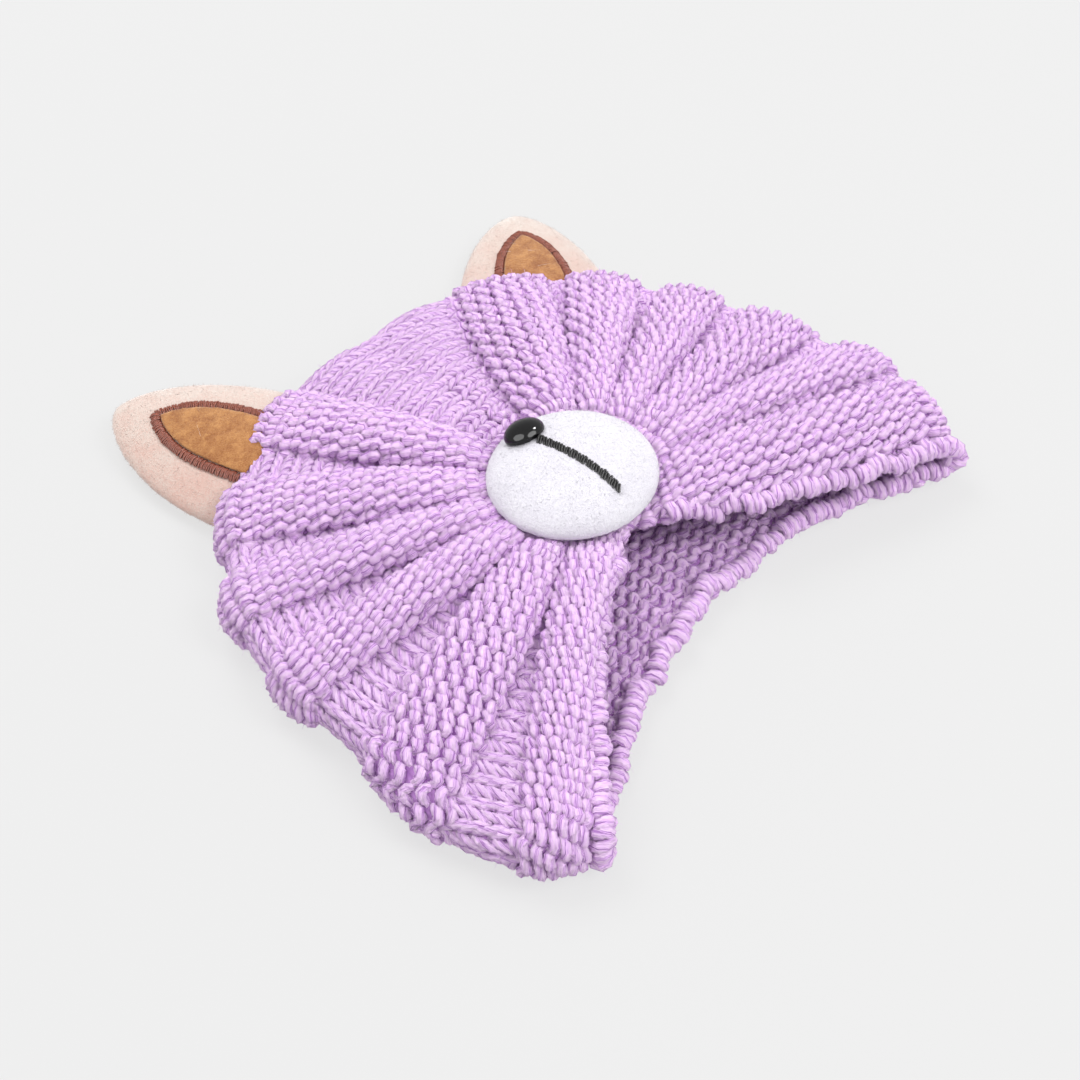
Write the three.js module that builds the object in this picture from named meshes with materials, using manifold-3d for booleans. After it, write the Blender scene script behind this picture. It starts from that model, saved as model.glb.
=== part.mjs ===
// A knitted baby turban with plush ears and a padded muzzle, lying face up on a table.
// Millimetres, +Z up. The crown points to +Y and the brim to -Y. The model is worked out
// from the point under the muzzle where the ribs are gathered, and centred at the end.
//
// The turban is one knitted piece. On each side its welts (ribs of purl rows with grooves of
// knit rows between them) start at the gather, fan out over the front, turn under at the fold
// and meet in the middle of the back. A seam over the crown joins the two sides.

import * as THREE from "three";
import { mergeVertices } from "three/addons/utils/BufferGeometryUtils.js";
import Module from "manifold-3d";

const wasm = await Module();
wasm.setup();

const GAP = 0.3; // between pieces that are sewn together

// ---------------------------------------------------------------- the knitted piece

const WALL = 4.4; // the knit's thickness in a groove
const PRESSED_RIB = 1.75; // height of a rib on the back, before the table flattens it
const FLATTENED_RIB = 1.2; // and after
const BACK_LEVEL = WALL / 2 + FLATTENED_RIB; // middle of the back wall
const SEAT_LEVEL = 24; // top of the gathered knit, where the muzzle is sewn on
const GATHER_LEVEL = SEAT_LEVEL - WALL / 2;
const RIB_HEIGHT = 6.4; // above the grooves, half way to the fold
const RIB_HEIGHT_AT_FOLD = 3.2;
const RIB_HEIGHT_AT_MUZZLE = 4.4;
const CREASE = 0.015; // share of a rib that half a groove takes where the ribs are gathered
const BACK_GROOVE = 0.12; // and in the middle of the back
const SELVEDGE_ROLL = 1.2; // how far the brim's edge rolls up
const GUSSET_SWELL = 1.5;
const SEAT_RADIUS = 18; // inside it the gathered knit is flat
const MUZZLE_REACH = 34; // outside it the ribs have their full height
const CROWN_SEAM = 7; // rows of the tables, counted from the brim

// One row for each groove, from the brim's edge to the crown seam. Row 0 is the brim's edge,
// and ribs 1 to 6 lie between rows 0 and 6. gather is where the groove starts, fold is where it
// turns under, bow is how far it bends towards the crown on its way there, round is the radius
// of the fold, and groove is the groove's width at the fold.
const LEFT = [
  { gather: [-4, -19], fold: [-87, -74], bow: 5, round: 5, groove: 8 },
  { gather: [-9, -5], fold: [-106, -49], bow: 0, round: 5.2, groove: 20 },
  { gather: [-9.5, -1], fold: [-102, 1], bow: 0, round: 5.6, groove: 20 },
  { gather: [-9, 2], fold: [-97.5, 38], bow: 0, round: 5.6, groove: 18 },
  { gather: [-7.5, 5], fold: [-81, 66], bow: 0, round: 5.6, groove: 11 },
  { gather: [-5, 8], fold: [-52, 91], bow: 0, round: 5.6, groove: 15 },
  { gather: [-1.5, 9.5], fold: [-16, 102.5], bow: 0, round: 5.6, groove: 6 },
  { gather: [2, 10], fold: [15, 102], bow: 0, round: 5.6, groove: 0 },
];
const RIGHT = [
  { gather: [-4, -19], fold: [91, -73], bow: -4, round: 6, groove: 8 },
  { gather: [9, -6], fold: [109, -44], bow: 0, round: 6, groove: 5 },
  { gather: [10, -2], fold: [109, -17], bow: 0, round: 5.8, groove: 8 },
  { gather: [10, 1], fold: [105, 17], bow: 0, round: 5.6, groove: 7 },
  { gather: [9.5, 4.5], fold: [95, 45], bow: 0, round: 5.6, groove: 7 },
  { gather: [8, 7.5], fold: [78, 73], bow: 0, round: 5.6, groove: 5 },
  { gather: [5.5, 9.5], fold: [46, 96], bow: 5, round: 5.6, groove: 6 },
  { gather: [2, 10], fold: [15, 102], bow: 0, round: 5.6, groove: 0 },
];
const SIDES = [
  { rows: LEFT, turn: 1 },
  { rows: RIGHT, turn: -1 },
];
// The middle of the back, from the brim to the end of the crown seam.
const BACK_BRIM = new THREE.Vector2(6, -44);
const BACK_CROWN = new THREE.Vector2(12, 85);
const BACK_CROWDING = 0.85; // under 1, the ribs lie wider apart at the brim than at the crown

// A rib's section, as shares of its rows: knit, purl, knit.
const PURL_FROM = 2 / 9;
const PURL_TO = 7 / 9;
const RIB_SAMPLES = [0, PURL_FROM, 0.36, 0.5, 0.64, PURL_TO];
const GUSSET_SAMPLES = [0, 0.25, 0.5, 0.75];

// Places along a line from the gather (0) over the fold to the middle of the back (1).
const FOLD_FROM = 0.5;
const FOLD_TO = 0.7;
const FRONT_SAMPLES = [0, 0.09, 0.18, 0.27, 0.4, 0.54, 0.68, 0.81, 0.92];
const FOLD_STEPS = 4;
const BACK_STEPS = 5;

const lerp = THREE.MathUtils.lerp;
const smooth = THREE.MathUtils.smoothstep;

for (const side of SIDES) {
  const along = (pick) =>
    new THREE.CatmullRomCurve3(
      side.rows.map((row) => new THREE.Vector3(...pick(row))),
      false,
      "catmullrom",
      0.5,
    );
  side.gather = along((row) => [...row.gather, row.bow]);
  side.fold = along((row) => [...row.fold, row.round]);
}

// The middle surface of the knit, without its ribs: row counts from the brim (0) to the crown
// seam (7), and q from the gather (0) to the middle of the back (1).
function sheet(side, row, q) {
  const share = THREE.MathUtils.clamp(row / CROWN_SEAM, 0, 1);
  const gather = side.gather.getPoint(share);
  const fold = side.fold.getPoint(share);
  const [bow, round] = [gather.z, fold.z];
  gather.z = fold.z = 0;
  const way = fold.clone().sub(gather);
  const straight = way.length() - WALL / 2 - round;
  way.normalize();
  const low = BACK_LEVEL;
  const top = low + 2 * round;
  if (q <= FOLD_FROM) {
    const t = q / FOLD_FROM;
    const crownward = new THREE.Vector3(way.y, -way.x, 0).multiplyScalar(side.turn);
    return gather
      .addScaledVector(way, straight * t)
      .addScaledVector(crownward, bow * Math.sin(Math.PI * t))
      .setZ(lerp(GATHER_LEVEL, top, t * t));
  }
  const under = gather.clone().addScaledVector(way, straight);
  if (q <= FOLD_TO) {
    const a = (Math.PI * (q - FOLD_FROM)) / (FOLD_TO - FOLD_FROM);
    return under.addScaledVector(way, round * Math.sin(a)).setZ(low + round + round * Math.cos(a));
  }
  const t = (q - FOLD_TO) / (1 - FOLD_TO);
  const middle = BACK_BRIM.clone().lerp(BACK_CROWN, share ** BACK_CROWDING);
  const bend = new THREE.Vector3((under.x + middle.x) / 2, middle.y, 0);
  const curve = new THREE.QuadraticBezierCurve3(under, bend, new THREE.Vector3(middle.x, middle.y, 0));
  return curve.getPoint(t).setZ(low);
}

// The outward direction of the middle surface.
function outward(side, row, q) {
  if (q >= FOLD_TO) return new THREE.Vector3(0, 0, -1);
  const step = 0.01;
  const rows = [Math.max(0, row - step), Math.min(CROWN_SEAM, row + step)];
  const places = [Math.max(0, q - step), Math.min(1, q + step)];
  const up = sheet(side, rows[1], q).sub(sheet(side, rows[0], q));
  const out = sheet(side, row, places[1]).sub(sheet(side, row, places[0]));
  return up.cross(out).multiplyScalar(side.turn).normalize();
}

// How high a rib stands at a place, and what shares of its width the halves of its two grooves
// take there.
function ribShape(side, rib, q, fromGather) {
  const [brimward, crownward] = [side.rows[rib], side.rows[rib + 1]];
  const width = Math.hypot(
    crownward.fold[0] - brimward.fold[0],
    crownward.fold[1] - brimward.fold[1],
  );
  const opened = smooth(fromGather, SEAT_RADIUS, MUZZLE_REACH);
  const t = Math.min(1, q / FOLD_FROM);
  const arched = lerp(lerp(RIB_HEIGHT_AT_MUZZLE, RIB_HEIGHT_AT_FOLD, t), RIB_HEIGHT, Math.sin(Math.PI * t));
  const pressed = smooth(q, (FOLD_FROM + FOLD_TO) / 2, FOLD_TO);
  const flattened = smooth(q, FOLD_TO, 1);
  const grooves = [brimward, crownward].map((row) => {
    const atFold = row.groove / 2 / width;
    return lerp(lerp(CREASE, atFold, t), BACK_GROOVE, flattened);
  });
  return { height: lerp(opened * arched, PRESSED_RIB, pressed), grooves };
}

// Where a share of a rib's rows lies across the rib, and how high it stands.
function ribSection(phi, { height, grooves: [from, to] }) {
  if (phi < PURL_FROM) return { across: (phi / PURL_FROM) * from, rise: 0 };
  if (phi > PURL_TO) return { across: 1 - ((1 - phi) / (1 - PURL_TO)) * to, rise: 0 };
  const a = Math.PI * ((phi - PURL_FROM) / (PURL_TO - PURL_FROM) - 0.5);
  return { across: lerp(from, 1 - to, 0.5 + 0.5 * Math.sin(a)), rise: height * Math.cos(a) };
}

// The outer and the inner point of the wall, for one sample of a rib's section.
function wallPoints(side, rib, phi, q, clearance) {
  const place = sheet(side, Math.min(rib + phi, CROWN_SEAM), q);
  const fromGather = Math.hypot(place.x, place.y);
  const shape = ribShape(side, rib, q, fromGather);
  let { across, rise } = ribSection(phi, shape);
  if (rib === CROWN_SEAM - 1) {
    across = phi;
    rise = GUSSET_SWELL * Math.sin(Math.PI * phi) * smooth(fromGather, SEAT_RADIUS, MUZZLE_REACH);
    if (q > FOLD_TO) rise = Math.min(rise, PRESSED_RIB);
  }
  if (rib === 0 && phi === 0) rise = SELVEDGE_ROLL * smooth(fromGather, SEAT_RADIUS, MUZZLE_REACH);
  const row = rib + across;
  const middle = sheet(side, row, q);
  let normal = outward(side, row, q);
  if (row >= CROWN_SEAM) {
    normal = SIDES.map((s) => outward(s, CROWN_SEAM, q)).reduce((a, b) => a.add(b)).normalize();
  }
  const onFront = 1 - smooth(q, FOLD_FROM, (FOLD_FROM + FOLD_TO) / 2);
  const hollow = 0.5 * rise * onFront * smooth(fromGather, MUZZLE_REACH, 2 * MUZZLE_REACH);
  const outer = middle.clone().addScaledVector(normal, WALL / 2 + rise + clearance);
  const inner = middle.clone().addScaledVector(normal, hollow - WALL / 2);
  if (clearance === 0) outer.z = Math.max(outer.z, 0);
  return { outer, inner };
}

// The whole knitted piece as one closed wall. clearance thickens it outwards, for cutting what
// is sewn to it.
function knitGeometry(clearance) {
  const places = FRONT_SAMPLES.map((t) => t * FOLD_FROM);
  for (let i = 0; i < FOLD_STEPS; i++) places.push(lerp(FOLD_FROM, FOLD_TO, i / FOLD_STEPS));
  for (let i = 0; i <= BACK_STEPS; i++) places.push(lerp(FOLD_TO, 1, i / BACK_STEPS));
  const rows = [];
  for (let rib = 0; rib < CROWN_SEAM - 1; rib++) RIB_SAMPLES.forEach((phi) => rows.push({ rib, phi }));
  GUSSET_SAMPLES.forEach((phi) => rows.push({ rib: CROWN_SEAM - 1, phi }));
  rows.push({ rib: CROWN_SEAM - 1, phi: 1 });

  const points = [];
  const faces = [];
  const add = (p) => points.push(p.x, p.y, p.z) / 3 - 1;
  const last = { row: rows.length - 1, place: places.length - 1 };
  const skins = { outer: [], inner: [] };
  SIDES.forEach((side, s) => {
    const made = rows.map(({ rib, phi }) => places.map((q) => wallPoints(side, rib, phi, q, clearance)));
    for (const skin of ["outer", "inner"]) {
      const first = skins[skin][0];
      skins[skin].push(
        made.map((line, j) =>
          line.map((p, i) => {
            const shared = s === 1 && (j === last.row || i === last.place || (j === 0 && i === 0));
            return shared ? first[j][i] : add(p[skin]);
          }),
        ),
      );
    }
  });

  const triangle = (a, b, c, turned) => (turned ? faces.push(a, c, b) : faces.push(a, b, c));
  const quad = (a, b, c, d, turned) => {
    triangle(a, b, c, turned);
    triangle(a, c, d, turned);
  };
  const top = add(new THREE.Vector3(0, 0, SEAT_LEVEL + clearance));
  const bottom = add(new THREE.Vector3(0, 0, SEAT_LEVEL - WALL));
  for (const s of [0, 1]) {
    const outer = skins.outer[s];
    const inner = skins.inner[s];
    const right = s === 1;
    for (let j = 0; j < last.row; j++) {
      for (let i = 0; i < last.place; i++) {
        quad(outer[j][i], outer[j + 1][i], outer[j + 1][i + 1], outer[j][i + 1], right);
        quad(inner[j][i], inner[j + 1][i], inner[j + 1][i + 1], inner[j][i + 1], !right);
      }
      triangle(outer[j + 1][0], outer[j][0], top, right);
      triangle(inner[j + 1][0], inner[j][0], bottom, !right);
    }
    for (let i = 0; i < last.place; i++) {
      quad(outer[0][i], outer[0][i + 1], inner[0][i + 1], inner[0][i], right);
    }
  }
  return new THREE.BufferGeometry()
    .setAttribute("position", new THREE.Float32BufferAttribute(points, 3))
    .setIndex(faces);
}

// ---------------------------------------------------------------- sewn pads and stitching

const SEWN_EDGE = 1; // thickness where two layers are sewn together

// A closed cushion. edge is its outline as plan points, counter-clockwise, middle is the plan
// point that its rings close on, and top and bottom give heights for a plan point and for its
// share of the way out from the middle.
function cushion({ rings, edge, middle, top, bottom }) {
  const points = [];
  const faces = [];
  const spokes = edge.length;
  const [upper, lower] = [top, bottom].map((level) => {
    const centre = points.push(...middle, level(...middle, 0)) / 3 - 1;
    const grid = [new Array(spokes).fill(centre)];
    for (let i = 1; i <= rings; i++) {
      const out = Math.sin((Math.PI / 2) * (i / rings));
      const ring = edge.map((end) => [lerp(middle[0], end[0], out), lerp(middle[1], end[1], out)]);
      grid.push(ring.map(([x, y]) => points.push(x, y, level(x, y, out)) / 3 - 1));
    }
    return grid;
  });
  for (let k = 0; k < spokes; k++) {
    const n = (k + 1) % spokes;
    faces.push(upper[0][k], upper[1][k], upper[1][n]);
    faces.push(lower[0][k], lower[1][n], lower[1][k]);
    for (let i = 1; i < rings; i++) {
      faces.push(upper[i][k], upper[i + 1][k], upper[i + 1][n]);
      faces.push(upper[i][k], upper[i + 1][n], upper[i][n]);
      faces.push(lower[i][k], lower[i + 1][n], lower[i + 1][k]);
      faces.push(lower[i][k], lower[i][n], lower[i + 1][n]);
    }
    faces.push(upper[rings][k], lower[rings][k], lower[rings][n]);
    faces.push(upper[rings][k], lower[rings][n], upper[rings][n]);
  }
  return new THREE.BufferGeometry()
    .setAttribute("position", new THREE.Float32BufferAttribute(points, 3))
    .setIndex(faces);
}

// How full a cushion is at a share of the way out: 1 in the middle, 0 at its sewn edge.
function fullness(out) {
  return (1 - Math.min(1, out) ** 2.4) ** 0.65;
}

// A bead of satin stitch over a surface. right and left give its two edges in plan, for a share
// of its length, and base gives the surface's height.
function bead({ steps, right, left, base, height }) {
  const sides = 6;
  const points = [];
  const faces = [];
  const at = (i, k) => i * sides + (k % sides);
  for (let i = 0; i <= steps; i++) {
    const [from, to] = [right(i / steps), left(i / steps)];
    for (let k = 0; k < sides; k++) {
      const a = (Math.PI * k) / (sides - 1);
      const across = (1 - Math.cos(a)) / 2;
      const [x, y] = [lerp(from[0], to[0], across), lerp(from[1], to[1], across)];
      points.push(x, y, base(x, y) + GAP + height * Math.sin(a));
    }
  }
  for (let i = 0; i < steps; i++) {
    for (let k = 0; k < sides; k++) {
      faces.push(at(i, k), at(i + 1, k), at(i + 1, k + 1));
      faces.push(at(i, k), at(i + 1, k + 1), at(i, k + 1));
    }
  }
  for (let k = 1; k < sides - 1; k++) {
    faces.push(at(0, 0), at(0, k), at(0, k + 1));
    faces.push(at(steps, 0), at(steps, k + 1), at(steps, k));
  }
  return new THREE.BufferGeometry()
    .setAttribute("position", new THREE.Float32BufferAttribute(points, 3))
    .setIndex(faces);
}

// ---------------------------------------------------------------- muzzle, nose and mouth

const MUZZLE = { x: -2, y: 2, halfWidth: 26, halfLength: 24.4, edgeLevel: 28.6, crown: 36.6 };
const MUZZLE_FLAT = 0.55; // share of the underside that lies flat on the gathered knit
const NOSE = { x: -2.6, y: 19.4, width: 13, length: 10, height: 8.4, turn: -16, lean: 30, proud: 0.6 };
const MOUTH = { from: 14, to: -15, width: 2.2, height: 1, bow: 0.8 };

function muzzleTop(x, y) {
  const out = Math.hypot((x - MUZZLE.x) / MUZZLE.halfWidth, (y - MUZZLE.y) / MUZZLE.halfLength);
  const edge = MUZZLE.edgeLevel + SEWN_EDGE / 2;
  return edge + (MUZZLE.crown - edge) * fullness(out);
}

function muzzleGeometry() {
  const round = new THREE.EllipseCurve(MUZZLE.x, MUZZLE.y, MUZZLE.halfWidth, MUZZLE.halfLength);
  return cushion({
    rings: 8,
    edge: round.getPoints(40).slice(0, -1).map((p) => [p.x, p.y]),
    middle: [MUZZLE.x, MUZZLE.y],
    top: muzzleTop,
    bottom: (x, y, out) => {
      const lift = Math.max(0, (out - MUZZLE_FLAT) / (1 - MUZZLE_FLAT)) ** 1.6;
      return lerp(SEAT_LEVEL + GAP, MUZZLE.edgeLevel - SEWN_EDGE / 2, lift);
    },
  });
}

function noseMatrix() {
  return new THREE.Matrix4()
    .makeTranslation(NOSE.x, NOSE.y, muzzleTop(NOSE.x, NOSE.y) + NOSE.proud)
    .multiply(new THREE.Matrix4().makeRotationZ(THREE.MathUtils.degToRad(NOSE.turn)))
    .multiply(new THREE.Matrix4().makeRotationX(THREE.MathUtils.degToRad(-NOSE.lean)));
}

function mouthGeometry() {
  const edge = (side) => (t) => [
    NOSE.x + MOUTH.bow * Math.sin(Math.PI * t) + (side * MOUTH.width) / 2,
    lerp(MOUTH.from, MOUTH.to, t),
  ];
  return bead({ steps: 16, right: edge(-1), left: edge(1), base: muzzleTop, height: MOUTH.height });
}

// ---------------------------------------------------------------- ears

// An ear's own frame has its root at the origin and its tip on +Y. x, y and z place the root,
// turn is how many degrees the ear leans from +Y, and tilt how far it rolls onto its left edge.
const EARS = [
  { name: "left", x: -40.5, y: 89, z: 3.2, turn: 14, tilt: 8 },
  { name: "right", x: 67, y: 69.5, z: 0, turn: -41, tilt: 0 },
];
// pointed and full bend an outline |x|^pointed + y^full = 1: a lower pointed gives a sharper
// tip, and a higher full gives rounder shoulders.
const EAR = { halfWidth: 27, length: 56.5, pointed: 1.6, full: 1.9, edgeLevel: 5, crown: 12.5 };
const EAR_ROOT = -14; // an ear runs back to here, behind its root, until the knit cuts it
const PATCH = { halfWidth: 10.4, length: 37.5, pointed: 1.2, full: 3.2, height: 0.9 };
const BORDER = { width: 3.2, height: 1.2 };
const ARCH_FOOT = 0.12; // share of half an arch that is its straight foot

// A point of an arch with its feet on y = 0, where a runs from 0 at a foot to 1 at the tip.
function onArch(halfWidth, length, { pointed, full }, a) {
  const up = Math.sin((a * Math.PI) / 2);
  return [halfWidth * (1 - up ** full) ** (1 / pointed), length * up];
}

function outOfEar(x, y) {
  const across = Math.abs(x / EAR.halfWidth) ** EAR.pointed;
  return Math.sqrt(across + (Math.max(0, y) / EAR.length) ** EAR.full);
}

function earTop(x, y) {
  const out = outOfEar(x, y);
  const edge = EAR.edgeLevel + SEWN_EDGE / 2;
  return edge + (EAR.crown - edge) * fullness(out);
}

function earBottom(x, y) {
  return (EAR.edgeLevel - SEWN_EDGE / 2) * (1 - fullness(outOfEar(x, y)));
}

function earGeometry() {
  const steps = 15; // up each side
  const side = Array.from({ length: steps }, (_, i) =>
    onArch(EAR.halfWidth, EAR.length, EAR, i / steps),
  );
  const otherSide = side.map(([x, y]) => [-x, y]).reverse();
  const foot = [0.75, 0.3, -0.3, -0.75].map((share) => [-share * EAR.halfWidth, EAR_ROOT]);
  return cushion({
    rings: 7,
    edge: [...side, [0, EAR.length], ...otherSide, ...foot],
    middle: [0, EAR.length * 0.3],
    top: earTop,
    bottom: earBottom,
  });
}

// A point of the patch's outline, over straight feet. t runs from the right foot over the tip
// to the left one, and margin grows the outline.
function archPoint(margin, t) {
  const side = t < 0.5 ? 1 : -1;
  const up = 1 - Math.abs(2 * t - 1);
  const halfWidth = PATCH.halfWidth + margin;
  if (up < ARCH_FOOT) return [side * halfWidth, lerp(EAR_ROOT + 1, 0, up / ARCH_FOOT)];
  const length = PATCH.length + 1.3 * margin;
  const [x, y] = onArch(halfWidth, length, PATCH, (up - ARCH_FOOT) / (1 - ARCH_FOOT));
  return [side * x, y];
}

function patchGeometry() {
  const steps = 26;
  return cushion({
    rings: 3,
    edge: Array.from({ length: steps + 1 }, (_, i) => archPoint(0, i / steps)),
    middle: [0, PATCH.length * 0.3],
    top: (x, y) => earTop(x, y) + GAP + PATCH.height,
    bottom: (x, y) => earTop(x, y) + GAP,
  });
}

function borderGeometry() {
  return bead({
    steps: 36,
    right: (t) => archPoint(GAP + BORDER.width, t),
    left: (t) => archPoint(GAP, t),
    base: earTop,
    height: BORDER.height,
  });
}

// ---------------------------------------------------------------- cutting one piece by another

function solidOf(geometry, matrix) {
  const bare = new THREE.BufferGeometry().setAttribute("position", geometry.getAttribute("position"));
  const merged = mergeVertices(bare.setIndex(geometry.index), 1e-4).applyMatrix4(matrix);
  return new wasm.Manifold(
    new wasm.Mesh({
      numProp: 3,
      vertProperties: merged.attributes.position.array,
      triVerts: new Uint32Array(merged.index.array),
    }),
  );
}

// What is left of a piece where another one is taken away from it: the body that reaches
// furthest to +Y, which is the one that shows.
function trimmed(piece, cutter) {
  const reach = (body) => body.boundingBox().max[1];
  const bodies = piece.subtract(cutter).decompose();
  const mesh = bodies.sort((a, b) => reach(b) - reach(a))[0].getMesh();
  return new THREE.BufferGeometry()
    .setAttribute("position", new THREE.BufferAttribute(new Float32Array(mesh.vertProperties), 3))
    .setIndex(new THREE.BufferAttribute(new Uint32Array(mesh.triVerts), 1));
}

// ---------------------------------------------------------------- the assembly

const MATERIALS = {
  yarn: { color: 0xcda5e6, roughness: 0.9, metalness: 0 },
  muzzlePlush: { color: 0xf5f3f8, roughness: 0.95, metalness: 0 },
  earPlush: { color: 0xf0d7c8, roughness: 0.95, metalness: 0 },
  felt: { color: 0xbe8241, roughness: 0.95, metalness: 0 },
  brownThread: { color: 0x6e3c2d, roughness: 0.6, metalness: 0 },
  blackThread: { color: 0x161616, roughness: 0.6, metalness: 0 },
  blackPlastic: { color: 0x0c0c0e, roughness: 0.1, metalness: 0 },
};

function mesh(name, geometry, material) {
  const made = new THREE.Mesh(geometry, new THREE.MeshStandardMaterial(MATERIALS[material]));
  made.name = name;
  return made;
}

const turban = new THREE.Group();
const knit = knitGeometry(0);
turban.add(mesh("knit_body", knit, "yarn"));

const muzzle = muzzleGeometry();
turban.add(mesh("muzzle_pad", muzzle, "muzzlePlush"));
const noseDome = new THREE.SphereGeometry(0.5, 22, 14).scale(NOSE.width, NOSE.length, NOSE.height);
const abovePad = new THREE.Matrix4().makeTranslation(0, 0, GAP);
const nose = trimmed(solidOf(noseDome, noseMatrix()), solidOf(muzzle, abovePad));
turban.add(mesh("nose", nose, "blackPlastic"));
turban.add(mesh("mouth_stitch", mouthGeometry(), "blackThread"));

const knitWithGap = knitGeometry(GAP);
for (const { name, x, y, z, turn, tilt } of EARS) {
  const ear = new THREE.Group();
  ear.position.set(x, y, z);
  ear.rotation.set(0, THREE.MathUtils.degToRad(-tilt), THREE.MathUtils.degToRad(turn), "ZYX");
  ear.updateMatrix();
  const cutter = solidOf(knitWithGap, ear.matrix.clone().invert());
  const inPlace = new THREE.Matrix4();
  const piece = (geometry) => trimmed(solidOf(geometry, inPlace), cutter);
  ear.add(mesh(`ear_${name}`, piece(earGeometry()), "earPlush"));
  ear.add(mesh(`ear_${name}_inner`, piece(patchGeometry()), "felt"));
  ear.add(mesh(`ear_${name}_border`, piece(borderGeometry()), "brownThread"));
  turban.add(ear);
}

// Centre the turban's box on the origin, standing on z = 0.
const box = new THREE.Box3().setFromObject(turban, true);
const centre = box.getCenter(new THREE.Vector3());
turban.position.set(-centre.x, -centre.y, -box.min.z);

export default turban;
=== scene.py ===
"""How the knitted baby turban looks: its yarn, plush, felt, thread and glossy nose."""

import math

import bmesh
import bpy
import numpy as np
from mathutils import Matrix, Vector
from mathutils.bvhtree import BVHTree


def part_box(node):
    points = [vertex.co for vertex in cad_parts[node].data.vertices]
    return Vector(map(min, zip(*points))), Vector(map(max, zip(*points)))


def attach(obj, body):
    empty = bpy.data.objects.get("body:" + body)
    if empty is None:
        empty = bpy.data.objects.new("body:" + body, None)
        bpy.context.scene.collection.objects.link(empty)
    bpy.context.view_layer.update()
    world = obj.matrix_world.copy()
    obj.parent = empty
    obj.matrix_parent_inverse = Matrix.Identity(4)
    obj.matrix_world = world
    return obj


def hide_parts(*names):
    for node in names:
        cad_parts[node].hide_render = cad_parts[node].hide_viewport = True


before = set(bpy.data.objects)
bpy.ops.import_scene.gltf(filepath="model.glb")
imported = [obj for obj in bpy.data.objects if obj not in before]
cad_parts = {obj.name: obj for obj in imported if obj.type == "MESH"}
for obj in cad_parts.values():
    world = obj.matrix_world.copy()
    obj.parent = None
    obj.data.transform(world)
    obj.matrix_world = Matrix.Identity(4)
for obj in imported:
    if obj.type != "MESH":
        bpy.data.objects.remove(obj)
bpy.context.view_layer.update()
bpy.context.scene.view_settings.view_transform = "Standard"

# ------------------------------------------------------------ the knitted fabric
# The turban is knitted sideways in thick acrylic yarn, as one strip from one end of the brim
# over the crown to the other. Purl rows stand up as ribs with knit rows between them. The ribs
# are gathered under the muzzle, and the strip is folded under at the sides and lies flat.

MM = 0.001
muzzle_low, muzzle_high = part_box("muzzle_pad")
# The point that the ribs run to, 2 mm from the middle of the muzzle.
GATHER = np.array([(muzzle_low.x + muzzle_high.x) / 2, (muzzle_low.y + muzzle_high.y) / 2, 0])
GATHER += np.array([2, -2, 0]) * MM

WALL = 4.4  # the knit's thickness in a groove
PRESSED_RIB = 1.75  # height of a rib on the back
BACK_LEVEL = 3.4
GATHER_LEVEL = 21.8
RIB_HEIGHT, RIB_HEIGHT_AT_FOLD, RIB_HEIGHT_AT_MUZZLE = 7.4, 3.6, 4.6
CREASE, BACK_GROOVE = 0.015, 0.12  # half a groove's share of a rib, at the gather and behind
RIB_ROLL = 0.28  # how far a rib leans over the groove on its brim side, per unit of height
GUSSET_SWELL = 1.5
SEAT_RADIUS, MUZZLE_REACH = 18, 34  # flat inside the one, full ribs outside the other
FOLD_FROM, FOLD_TO = 0.5, 0.7  # where the fabric turns under, from the gather to mid back
BACK_BRIM, BACK_CROWN, BACK_CROWDING = np.array([6.0, -44]), np.array([12.0, 85]), 0.85

# Columns: gather x and y, fold x and y, bow, radius of the fold, width of the groove. A row is
# a groove, from the brim's edge to the crown, in millimetres from the gather.
LEFT = np.array(
    [
        [-4, -19, -87, -74, 5, 5, 8],
        [-9, -5, -106, -49, 0, 5.2, 20],
        [-9.5, -1, -102, 1, 0, 5.6, 20],
        [-9, 2, -97.5, 38, 0, 5.6, 18],
        [-7.5, 5, -81, 66, 0, 5.6, 11],
        [-5, 8, -52, 91, 0, 5.6, 15],
        [-1.5, 9.5, -16, 102.5, 0, 5.6, 6],
        [2, 10, 15, 102, 0, 5.6, 0],
    ]
)
RIGHT = np.array(
    [
        [-4, -19, 91, -73, -4, 6, 8],
        [9, -6, 109, -44, 0, 6, 5],
        [10, -2, 109, -17, 0, 5.8, 8],
        [10, 1, 105, 17, 0, 5.6, 7],
        [9.5, 4.5, 95, 45, 0, 5.6, 7],
        [8, 7.5, 78, 73, 0, 5.6, 5],
        [5.5, 9.5, 46, 96, 5, 5.6, 6],
        [2, 10, 15, 102, 0, 5.6, 0],
    ]
)
RIBS = 6  # on each side
CROWN = RIBS + 1  # number of the tables' last row
RIB_ROWS = 11  # knit, knit, seven purl, knit, knit
PURL_FROM, PURL_TO = 2, 9
GUSSET_ROWS = 8  # between the last rib and the crown
HALF_ROWS = RIBS * RIB_ROWS + GUSSET_ROWS
STRIP_ROWS = 2 * HALF_ROWS
STITCH = 6.5  # width of a stitch
MOST_STITCHES = 36
ROW_PARTS = 3  # steps of the fabric's surface in a row


def lerp(a, b, t):
    return a + (b - a) * t


def smooth(x, low, high):
    t = np.clip((x - low) / (high - low), 0, 1)
    return t * t * (3 - 2 * t)


def through(table, place):
    """A smooth line through the rows of a table, at fractional row numbers."""
    ends = np.vstack([2 * table[0] - table[1], table, 2 * table[-1] - table[-2]])
    first = np.minimum(place.astype(int), len(table) - 2)
    w = (place - first)[..., None]
    a, b, c, d = (ends[first + k] for k in range(4))
    p, q = (c - a) / 2, (d - b) / 2
    return b + p * w + (3 * (c - b) - 2 * p - q) * w**2 + (2 * (b - c) + p + q) * w**3


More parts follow.
